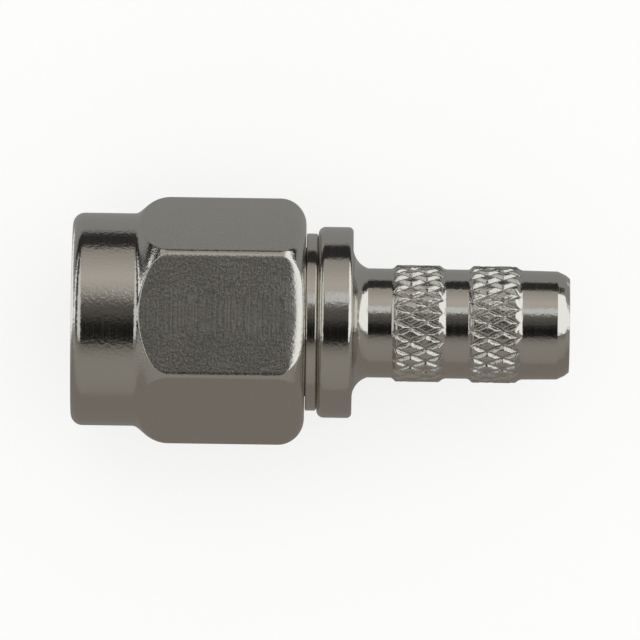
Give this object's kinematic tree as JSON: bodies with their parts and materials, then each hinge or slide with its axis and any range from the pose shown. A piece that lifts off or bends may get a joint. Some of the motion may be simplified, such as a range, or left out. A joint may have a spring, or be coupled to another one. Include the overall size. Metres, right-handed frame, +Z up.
{
  "type": "sma connector",
  "caption": "Straight coaxial screw plug: a hexagonal coupling nut with a round collar turns on a shell with a centre pin, behind it a flange and a crimp stem with knurled bands.",
  "frame": {"origin": "on the connector's axis, in its mating plane, which is the front face of the outer conductor's bushing", "axes": "+X along the axis towards the cable, the nut's mouth faces -X; +Z up, square to a pair of the nut's flats; +Y across the nut's corners"},
  "size_m": [0.0184, 0.0092, 0.008],
  "materials": {
    "nickel_nut": "satin",
    "nickel_body": "satin",
    "bronze_ring": "satin",
    "silicone_seal": "matte",
    "ptfe": "matte",
    "gold_contact": "polished"
  },
  "bodies": {
    "plug": {"front_shell": "nickel_body", "rear_body": "nickel_body", "front_insulator": "ptfe", "rear_insulator": "ptfe", "centre_contact": "gold_contact", "snap_ring": "bronze_ring", "sealing_ring": "silicone_seal"},
    "coupling": {"coupling_nut": "nickel_nut"}
  },
  "joints": [
    {"name": "nut_spin", "type": "hinge", "parent": "plug", "child": "coupling", "pos_m": [0, 0, 0], "axis": [1, 0, 0], "continuous": true}
  ]
}
